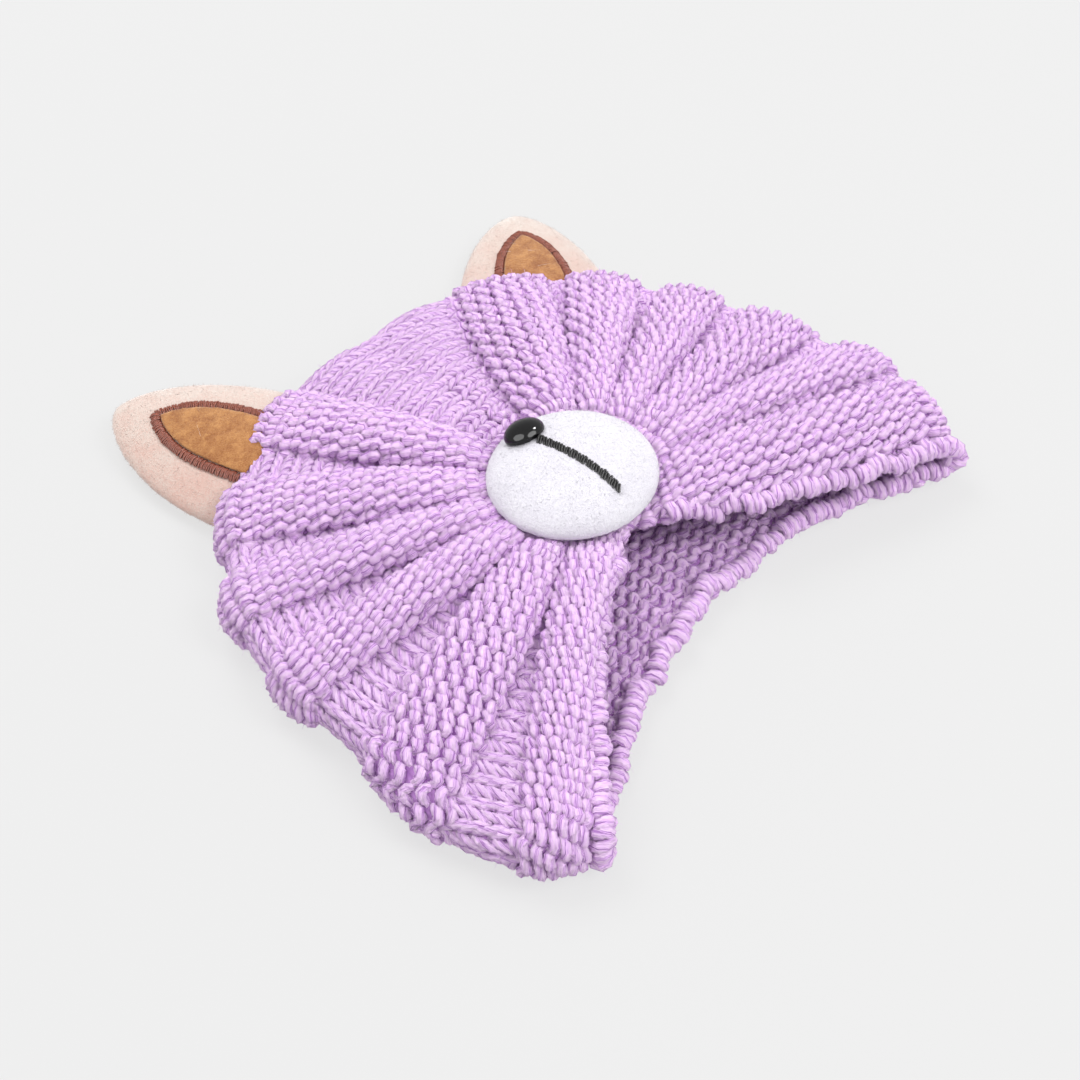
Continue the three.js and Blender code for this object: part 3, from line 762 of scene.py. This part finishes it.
fine = np.linspace(0, BACK_STITCHES, 12 * BACK_STITCHES + 1)
lines = []
for k in range(BACK_ROWS):
    j = k + 1
    row = (grid[j] + grid[j + 1]) / 2
    line = np.stack([np.interp(fine, across, row[:, 0]), np.interp(fine, across, row[:, 1])], -1)
    for a, b in spans_inside(line):
        first, end = fine[a] - END_SLACK, fine[b] + END_SLACK
        if end - first > SHORTEST_RUN:
            lines.append((k + 0.5, max(0.2, first), min(BACK_STITCHES - 0.2, end), -1.0))
back_knitting = KNITTING | {"Height": 0.75, "Depth": 0.95 * MM, "Yarn Radius": 1.75 * MM}
lines = stitch_lines("back_lines", lines)
yarns.append(made_by(knitting, lines, "knit_back", Fabric=back_fabric, **back_knitting))

# ------------------------------------------------------------ the brim's edge
# The strip's first and last rows are turned into a bobbled edge: the yarn is wound over the
# brim in close wraps that swell and sink.

BOBBLE_SWELL = 0.22  # share by which the wraps swell and sink
WRAP_STRAY = 8.0  # strength of the unevenness that moves single wraps
winding, given = new_tree(
    "bobbled edge",
    {
        "Spacing": "Float",
        "Wrap": "Float",
        "Bobble": "Float",
        "Wrap Radius": "Float",
        "Yarn Radius": "Float",
        "Twist": "Float",
        "Yarn": "Material",
    },
)
tree = winding
line = put(tree, "GeometryNodeMeshToCurve", {"Mesh": given["Geometry"]}).outputs[0]
line = put(
    tree, "GeometryNodeResampleCurve", {"Curve": line, "Length": given["Spacing"]}, mode="LENGTH"
).outputs[0]
gone = put(tree, "GeometryNodeSplineParameter").outputs["Length"]
gone_round = maths(tree, "MULTIPLY", gone, 2 * math.pi)
turn = maths(tree, "DIVIDE", gone_round, given["Wrap"])
swell = maths(tree, "SINE", maths(tree, "DIVIDE", gone_round, given["Bobble"]))
far = maths(tree, "ADD", maths(tree, "MULTIPLY", swell, BOBBLE_SWELL), 1.0)
far = maths(tree, "MULTIPLY", far, given["Wrap Radius"])
strayed = noise(tree, put(tree, "GeometryNodeInputPosition").outputs[0], 110.0, 1.0)["Color"]
strayed = vectors(tree, "SCALE", vectors(tree, "SUBTRACT", strayed, HALF_WAY), WRAP_STRAY * MM)
side = put(tree, "GeometryNodeInputNormal").outputs[0]
ahead = put(tree, "GeometryNodeInputTangent").outputs[0]
over = vectors(tree, "CROSS_PRODUCT", ahead, side)
sideways, upwards = (
    vectors(tree, "SCALE", way, maths(tree, "MULTIPLY", far, maths(tree, wave, turn)))
    for way, wave in ((side, "COSINE"), (over, "SINE"))
)
offset = vectors(tree, "ADD", vectors(tree, "ADD", sideways, upwards), strayed)
line = put(tree, "GeometryNodeSetPosition", {"Geometry": line, "Offset": offset}).outputs[0]
finish_tree(
    tree, plied(tree, line, given["Yarn Radius"], given["Twist"], sides=8, plies=4), given["Yarn"]
)

EDGE_LIFT, EDGE_LOWEST = 1.6, 5.4
edge_places = np.linspace(0.06, 1, 60)
at_brim = np.zeros(60)
path = []
for rows, turn in ((LEFT, 1), (RIGHT, -1)):
    edge = laid(rows, turn, at_brim, edge_places)
    edge = edge + facing(rows, turn, at_brim, edge_places) * EDGE_LIFT
    edge[:, 2] = np.maximum(edge[:, 2], EDGE_LOWEST)
    path.append(edge)
path = np.concatenate([path[0], path[1][-2::-1]])
base = bpy.data.meshes.new("brim_path")
links = [(i, i + 1) for i in range(len(path) - 1)]
base.from_pydata([tuple(p) for p in path * MM + GATHER], links, [])
yarns.append(
    made_by(
        winding,
        base,
        "knit_brim_edge",
        Spacing=0.4 * MM,
        Wrap=3.1 * MM,
        Bobble=8.6 * MM,
        Yarn=yarn,
        Twist=PLY_TURN,
        **{"Wrap Radius": 1.6 * MM, "Yarn Radius": 1.85 * MM},
    )
)

for helper in (front_fabric, back_fabric):
    bpy.data.objects.remove(helper)
for piece in yarns:
    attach(piece, "root")
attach(cloth, "root")
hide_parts("knit_body")

# ------------------------------------------------------------ the muzzle
# A round pad of short white plush over stuffing, sewn down over the gather. It is crowned,
# and its pile hides the seam round its edge.


def stuffed(node, name, voxel, rounds=3):
    """A soft piece made from a CAD solid: even faces, eased edges, and a smooth skin."""
    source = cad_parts[node]
    mesh = source.data.copy()
    mesh.materials.clear()
    work = bmesh.new()
    work.from_mesh(mesh)
    bmesh.ops.remove_doubles(work, verts=work.verts, dist=1e-6)
    work.to_mesh(mesh)
    work.free()
    made = bpy.data.objects.new(name + "_maker", mesh)
    bpy.context.scene.collection.objects.link(made)
    made.modifiers.new("remesh", "REMESH").voxel_size = voxel * MM
    ease = made.modifiers.new("ease", "SMOOTH")
    ease.iterations = rounds
    graph = bpy.context.evaluated_depsgraph_get()
    mesh = bpy.data.meshes.new_from_object(made.evaluated_get(graph))
    bpy.data.objects.remove(made)
    mesh.shade_smooth()
    made = bpy.data.objects.new(name, mesh)
    bpy.context.scene.collection.objects.link(made)
    return made


def plush_material(name, dark, light, pile):
    """Short pile, darker and lighter as it lies, and paler or darker by an attribute from -1 to 1,
    which is painted light.
    """
    material, tree, shader = new_material(name)
    at = put(tree, "ShaderNodeTexCoord").outputs["Object"]
    nap, hairs = noise(tree, at, 150.0, 4.0)["Fac"], noise(tree, at, 2200.0, 2.0)["Fac"]
    mixed = maths(tree, "MULTIPLY", nap, 0.35)
    mixed = maths(tree, "ADD", mixed, maths(tree, "MULTIPLY", hairs, 0.65))
    # Painted light: an attribute from -1 to 1 paints one side of a piece paler and the other darker.
    brushed = put(tree, "ShaderNodeAttribute", attribute_name="brushed").outputs["Fac"]
    mixed = maths(tree, "ADD", mixed, maths(tree, "MULTIPLY", brushed, 0.1))
    paler = [(c + 1) / 2 for c in light]
    coloured(tree, shader, mixed, (0.3, dark), (0.65, light), (0.9, paler))
    bumped(tree, shader, mixed, pile, 0.5)
    finished(
        shader,
        {
            "Roughness": 0.95,
            "Specular IOR Level": 0.2,
            "Sheen Weight": 0.9,
            "Sheen Roughness": 0.4,
        },
    )
    return material


# The plush's pile and the yarn's loose fibres are fine hairs that stand on the surface.
piling, given = new_tree(
    "fine hairs",
    {
        "Per Square Metre": "Float",
        "Length": "Float",
        "Thickness": "Float",
        "Lie": "Float",
        "Seed": "Int",
        "Hair": "Material",
    },
)
tree = piling
spread = put(
    tree,
    "GeometryNodeDistributePointsOnFaces",
    {"Mesh": given["Geometry"], "Density": given["Per Square Metre"], "Seed": given["Seed"]},
)
hair = put(
    tree,
    "GeometryNodeMeshCone",
    {"Vertices": 3, "Radius Top": 0.0, "Radius Bottom": given["Thickness"], "Depth": given["Length"]},
    fill_type="NONE",
)
tipped = put(
    tree,
    "FunctionNodeRandomValue",
    {"Min": (-1, -1, -3.2), "Max": (1, 1, 3.2)},
    data_type="FLOAT_VECTOR",
)
lie = put(tree, "ShaderNodeCombineXYZ", {0: given["Lie"], 1: given["Lie"], 2: 1.0}).outputs[0]
tipped = vectors(tree, "MULTIPLY", tipped.outputs[0], lie)
turned = put(
    tree,
    "FunctionNodeRotateRotation",
    {
        "Rotation": spread.outputs["Rotation"],
        "Rotate By": put(tree, "FunctionNodeEulerToRotation", {0: tipped}).outputs[0],
    },
    rotation_space="LOCAL",
)
longer = put(
    tree, "FunctionNodeRandomValue", {"Min": 0.5, "Max": 1.1}, data_type="FLOAT"
).outputs["Value"]
hairs = put(
    tree,
    "GeometryNodeInstanceOnPoints",
    {
        "Points": spread.outputs["Points"],
        "Instance": hair.outputs["Mesh"],
        "Rotation": turned.outputs[0],
        "Scale": longer,
    },
)
finish_tree(tree, hairs.outputs[0], given["Hair"])


white_plush = plush_material("white_plush_finish", srgb(192, 189, 198), srgb(209, 207, 213), 0.0005)
muzzle = stuffed("muzzle_pad", "muzzle", 1.0)
muzzle.data.materials.append(white_plush)
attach(muzzle, "root")
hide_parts("muzzle_pad")

PILE = {"Length": 1.2 * MM, "Thickness": 0.05 * MM, "Lie": 1.5}


def hairy(piece, name, hair, seed, density, look):
    """Fine hairs on a piece, so many to a square metre."""
    inputs = look | {"Per Square Metre": density, "Hair": hair, "Seed": seed}
    return made_by(piling, piece.data, name, **inputs)


muzzle_pile = hairy(muzzle, "muzzle_pile", white_plush, 3, 1.6e6, PILE)
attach(muzzle_pile, "root")

# ------------------------------------------------------------ the nose
# A glossy black button of moulded plastic. Such noses are usually held by a stem and a washer
# behind the plush.

gloss, tree, shader = new_material("black_gloss_finish")
at = put(tree, "ShaderNodeTexCoord").outputs["Object"]
scuffs = noise(tree, at, 900.0, 3.0)["Fac"]
level = maths(tree, "ADD", maths(tree, "MULTIPLY", scuffs, 0.08), 0.06)
tree.links.new(level, shader.inputs["Roughness"])
coloured(tree, shader, scuffs, (0.0, srgb(6, 6, 7)), (1.0, srgb(14, 13, 15)))
finished(shader, {"Specular IOR Level": 0.32})
nose = stuffed("nose", "safety_nose", 0.35, rounds=4)
nose.data.materials.append(gloss)
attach(nose, "root")
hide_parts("nose")

# ------------------------------------------------------------ the mouth
# One line of black satin stitch down the muzzle: threads laid side by side over the line.

satin, given = new_tree(
    "satin stitch",
    {
        "Pitch": "Float",
        "Width": "Float",
        "Height": "Float",
        "Slope": "Float",
        "Thread Radius": "Float",
        "Thread": "Material",
    },
)
tree = satin
line = put(tree, "GeometryNodeMeshToCurve", {"Mesh": given["Geometry"]}).outputs[0]
line = put(
    tree, "GeometryNodeResampleCurve", {"Curve": line, "Length": given["Pitch"]}, mode="LENGTH"
).outputs[0]
up = put(tree, "GeometryNodeInputNamedAttribute", {"Name": "up"}, data_type="FLOAT_VECTOR").outputs[0]
ahead = put(tree, "GeometryNodeInputTangent").outputs[0]
facing_up = put(
    tree,
    "FunctionNodeAxesToRotation",
    {"Primary Axis": up, "Secondary Axis": ahead},
    primary_axis="Z",
    secondary_axis="Y",
).outputs[0]
half = maths(tree, "MULTIPLY", given["Width"], 0.5)
thread = put(
    tree,
    "GeometryNodeCurveQuadraticBezier",
    {
        "Resolution": 6,
        "Start": put(tree, "ShaderNodeCombineXYZ", {0: maths(tree, "MULTIPLY", half, -1.0)}).outputs[0],
        "Middle": put(
            tree, "ShaderNodeCombineXYZ", {2: maths(tree, "MULTIPLY", given["Height"], 2.0)}
        ).outputs[0],
        "End": put(tree, "ShaderNodeCombineXYZ", {0: half}).outputs[0],
    },
).outputs[0]
sloped = put(
    tree,
    "FunctionNodeRandomValue",
    {"Min": (0, 0, -0.2), "Max": (0, 0, 0.2), "Seed": 2},
    data_type="FLOAT_VECTOR",
)
slope = put(tree, "ShaderNodeCombineXYZ", {2: given["Slope"]}).outputs[0]
sloped = vectors(tree, "ADD", sloped.outputs[0], slope)
facing_up = put(
    tree,
    "FunctionNodeRotateRotation",
    {
        "Rotation": facing_up,
        "Rotate By": put(tree, "FunctionNodeEulerToRotation", {0: sloped}).outputs[0],
    },
    rotation_space="LOCAL",
).outputs[0]
uneven = put(tree, "FunctionNodeRandomValue", {"Min": 0.82, "Max": 1.14}, data_type="FLOAT")
threads = put(
    tree,
    "GeometryNodeInstanceOnPoints",
    {
        "Points": line,
        "Instance": thread,
        "Rotation": facing_up,
        "Scale": uneven.outputs["Value"],
    },
).outputs[0]
threads = put(tree, "GeometryNodeRealizeInstances", {"Geometry": threads}).outputs[0]
ring = put(tree, "GeometryNodeCurvePrimitiveCircle", {"Resolution": 5, "Radius": 1.0}).outputs[0]
threads = put(
    tree,
    "GeometryNodeCurveToMesh",
    {"Curve": threads, "Profile Curve": ring, "Scale": given["Thread Radius"], "Fill Caps": True},
).outputs[0]
finish_tree(tree, threads, given["Thread"])


def thread_material(name, colour, shine):
    """Embroidery thread: smooth filament with a sheen, a little uneven in tone."""
    material, tree, shader = new_material(name)
    at = put(tree, "ShaderNodeTexCoord").outputs["Object"]
    grain = noise(tree, at, 1800.0, 2.0)["Fac"]
    lighter = [min(1, c * 1.5 + 0.004) for c in colour[:3]]
    coloured(tree, shader, grain, (0.35, colour), (0.7, (*lighter, 1)))
    bumped(tree, shader, grain, 0.0001, 0.5)
    finished(shader, {"Roughness": shine})
    return material


WELL_ABOVE = 0.03


def on_pad(pad, points, up):
    """Plan points set down along up onto a pad's surface."""
    skin = BVHTree.FromObject(pad, bpy.context.evaluated_depsgraph_get())
    up = Vector(up)
    down = []
    for p in points:
        hit = skin.ray_cast(Vector(p) + up * WELL_ABOVE, -up)
        down.append(hit[0] if hit[0] else Vector(p))
    return down


def path_mesh(name, points, up):
    mesh = bpy.data.meshes.new(name)
    mesh.from_pydata([tuple(p) for p in points], [(i, i + 1) for i in range(len(points) - 1)], [])
    ups = mesh.attributes.new("up", "FLOAT_VECTOR", "POINT")
    ups.data.foreach_set("vector", list(up) * len(points))
    return mesh


black_thread = thread_material("black_thread_finish", srgb(16, 15, 16), 0.4)
MOUTH_X, MOUTH_FROM, MOUTH_TO, MOUTH_BOW, MOUTH_LEVEL = -2.6, 14, -15, 0.8, 36.0
t = np.linspace(0, 1, 40)
line_x, line_y = MOUTH_X + MOUTH_BOW * np.sin(np.pi * t), lerp(MOUTH_FROM, MOUTH_TO, t)
line = np.stack([line_x, line_y, np.full_like(t, MOUTH_LEVEL)], -1)
mouth = made_by(
    satin,
    path_mesh("mouth_line", on_pad(muzzle, line * MM + GATHER, (0, 0, 1)), (0, 0, 1)),
    "mouth_threads",
    Pitch=0.88 * MM,
    Width=3.0 * MM,
    Height=0.9 * MM,
    Slope=0.5,
    Thread=black_thread,
    **{"Thread Radius": 0.4 * MM},
)
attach(mouth, "root")
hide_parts("mouth_stitch")

# ------------------------------------------------------------ the ears
# Each ear is two layers of cream plush, sewn round the edge and lightly stuffed. A patch of tan
# felt lies on its front under a border of brown satin stitch, and its root is in the knitting.

PATCH_HALF, PATCH_LENGTH, POINTED, FULL = 10.4, 37.5, 1.2, 3.2
ARCH_FOOT, EAR_ROOT = 0.12, -14
BORDER_MIDDLE, BORDER_WIDTH = 1.45, 3.3
ABOVE_EAR = 14  # the border's line is laid down on the ear from this level
END_STEP = 0.25  # the border stops where the ear's root drops away in the knitting
EAR_MIDDLE, EAR_WIDTH = 25, 24
PAINTED_LIGHT_TOWARDS = Vector((0.78, 0.63, 0))  # the ear is painted paler towards this side, and darker away from it: painted light
LINT = {"Length": 5 * MM, "Thickness": 0.07 * MM, "Lie": 1.5}
EARS = {"left": (-40.5, 89, 3.2, 14, 8), "right": (67, 69.5, 0, -41, 0)}  # x, y, z, turn and tilt
FELT_CUT = {"left": (0.0208, 0.0375, 0.00055), "right": (0.0208, 0.0300, 0.0004)}  # with its area


def arch_point(margin, t):
    """A blunt-pointed arch over straight feet, from the right foot over the tip to the left one."""
    half, length = PATCH_HALF + margin, PATCH_LENGTH + 1.3 * margin
    side = 1 if t < 0.5 else -1
    up = 1 - abs(2 * t - 1)
    if up < ARCH_FOOT:
        return side * half, lerp(EAR_ROOT + 1, 0, up / ARCH_FOOT)
    risen = math.sin(math.pi / 2 * (up - ARCH_FOOT) / (1 - ARCH_FOOT))
    return side * half * (1 - risen**FULL) ** (1 / POINTED), length * risen


def solid_tree(node):
    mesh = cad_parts[node].data
    return BVHTree.FromPolygons([v.co for v in mesh.vertices], [p.vertices for p in mesh.polygons])


def tucked_in(piece, way, reach=3.0, depth=2.4):
    """Lengthens the end of a piece that meets the knitting, so that it runs in under the yarn."""
    for v in piece.data.vertices:
        gap = knit_solid.find_nearest(v.co, reach * MM)[3]
        if gap is not None:
            v.co += way * depth * MM * (1 - gap / (reach * MM))


cream_plush = plush_material("cream_plush_finish", srgb(193, 159, 148), srgb(197, 184, 175), 0.0006)
brown_thread = thread_material("brown_thread_finish", srgb(118, 62, 46), 0.45)

felt, tree, shader = new_material("tan_felt_finish")
at = put(tree, "ShaderNodeTexCoord").outputs["Object"]
mottle = noise(tree, at, 260.0, 5.0)["Fac"]
fibre = noise(tree, at, 1500.0, 3.0, Distortion=1.5)["Fac"]
mixed = maths(tree, "MULTIPLY", mottle, 0.5)
mixed = maths(tree, "ADD", mixed, maths(tree, "MULTIPLY", fibre, 0.5))
coloured(tree, shader, mixed, (0.38, srgb(132, 79, 39)), (0.62, srgb(178, 127, 76)))
bumped(tree, shader, mixed, 0.0005, 0.9)
finished(shader, {"Roughness": 0.95, "Specular IOR Level": 0.2, "Sheen Weight": 0.3})

knit_solid = solid_tree("knit_body")
for side, (x, y, z, turn, tilt) in EARS.items():
    ear_frame = Matrix.Translation(Vector(GATHER) + Vector((x, y, z)) * MM)
    ear_frame @= Matrix.Rotation(math.radians(turn), 4, "Z")
    ear_frame @= Matrix.Rotation(math.radians(-tilt), 4, "Y")
    up, inwards = (ear_frame.to_3x3() @ Vector(way) for way in ((0, 0, 1), (0, -1, 0)))

    ear = stuffed(f"ear_{side}", f"ear_{side}_plush", 1.1, rounds=6)
    ear.data.materials.append(cream_plush)
    tucked_in(ear, inwards)
    # Painted light: each ear is painted paler towards one side and darker towards the other.
    middle = ear_frame @ (Vector((0, EAR_MIDDLE, 0)) * MM)
    brushed = [(v.co - middle).dot(PAINTED_LIGHT_TOWARDS) / (EAR_WIDTH * MM) for v in ear.data.vertices]
    ways = ear.data.attributes.new("brushed", "FLOAT", "POINT")
    ways.data.foreach_set("value", np.clip(brushed, -1, 1))
    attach(ear, "root")
    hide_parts(f"ear_{side}")
    pile = hairy(ear, f"ear_{side}_pile", cream_plush, 5, 1.1e6, PILE)
    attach(pile, "root")

    patch = stuffed(f"ear_{side}_inner", f"ear_{side}_felt", 0.45, rounds=2)
    patch.data.materials.append(felt)
    tucked_in(patch, inwards)
    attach(patch, "root")
    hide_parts(f"ear_{side}_inner")
    wide, long, area = FELT_CUT[side]
    lint = hairy(patch, f"ear_{side}_lint", cream_plush, 8, 1.5e4, LINT)
    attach(lint, "root")

    under = solid_tree(f"ear_{side}_border")
    line = []
    for t in np.linspace(0, 1, 160):
        px, py = arch_point(BORDER_MIDDLE, t)
        p = ear_frame @ (Vector((px, py, ABOVE_EAR)) * MM)
        if under.ray_cast(p + up * WELL_ABOVE, -up)[0]:
            line.append(p)
    line = on_pad(ear, line, up)
    for end, next_to_it in ((0, 1), (-1, -2)):
        while abs((line[end] - line[next_to_it]).dot(up)) > END_STEP * MM:
            del line[end]
    border = made_by(
        satin,
        path_mesh(f"ear_{side}_line", line, up),
        f"ear_{side}_threads",
        Pitch=0.62 * MM,
        Width=BORDER_WIDTH * MM,
        Height=1.1 * MM,
        Slope=0.0,
        Thread=brown_thread,
        **{"Thread Radius": 0.31 * MM},
    )
    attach(border, "root")
    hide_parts(f"ear_{side}_border")

# ------------------------------------------------------------ loose fibres
# Acrylic yarn sheds: short fibres stand off every strand and soften its outline.

FUZZ = {"Length": 2.4 * MM, "Thickness": 0.06 * MM, "Lie": 1.2}
for seed, piece in enumerate(yarns, 11):
    fuzz = hairy(piece, piece.name + "_fuzz", yarn, seed, 8e4, FUZZ)
    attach(fuzz, "root")

# ------------------------------------------------------------ floor, light and camera

floor_material, tree, shader = new_material("pale_floor")
finished(
    shader,
    {
        "Base Color": (0.1, 0.1, 0.1, 1),
        "Emission Color": (1, 1, 1, 1),  # a lit table
        "Emission Strength": 0.688,
        "Roughness": 0.9,
        "Specular IOR Level": 0.1,
    },
)
corners = [(-4, -4, 0), (4, -4, 0), (4, 4, 0), (-4, 4, 0)]
floor = mesh_object("floor", corners, [(0, 1, 2, 3)])
floor.data.materials.append(floor_material)

world = bpy.data.worlds.new("studio")
world.use_nodes = True
world.node_tree.nodes["Background"].inputs["Color"].default_value = (1, 1, 1, 1)
world.node_tree.nodes["Background"].inputs["Strength"].default_value = 0.92
bpy.context.scene.world = world


def softbox(name, place, size, power, lights="both"):
    """A round lamp aimed at the middle. It lights surfaces, shines in glossy ones, or does both."""
    light = bpy.data.lights.new(name, "AREA")
    light.shape, light.size, light.energy = "DISK", size, power
    made = bpy.data.objects.new(name, light)
    made.location = place
    made.rotation_euler = (-Vector(place)).to_track_quat("-Z", "Y").to_euler()
    made.visible_diffuse, made.visible_glossy = lights != "gloss", lights != "surfaces"
    bpy.context.scene.collection.objects.link(made)


softbox("key", (0.25, 1.0, 1.5), 1.2, 20, "surfaces")
softbox("fill", (0.3, -1.0, 1.25), 0.8, 13, "surfaces")
softbox("front_left", (-1.2, -0.55, 0.85), 1.7, 38, "gloss")
softbox("front_right", (0.2, -1.3, 0.6), 1.1, 20, "gloss")
softbox("side", (0.95, -0.8, 1.1), 0.35, 16, "gloss")

azimuth, elevation, distance = math.radians(-51), math.radians(48), 0.494
target = Vector((GATHER[0] - 0.0076, GATHER[1] + 0.0095, 0))
away = Vector(
    (
        math.sin(azimuth) * math.cos(elevation),
        -math.cos(azimuth) * math.cos(elevation),
        math.sin(elevation),
    )
)
camera = bpy.data.objects.new("camera", bpy.data.cameras.new("camera"))
camera.data.lens, camera.data.sensor_width = 55, 36
camera.location = target + away * distance
camera.rotation_euler = away.to_track_quat("Z", "Y").to_euler()
bpy.context.scene.collection.objects.link(camera)
bpy.context.scene.camera = camera
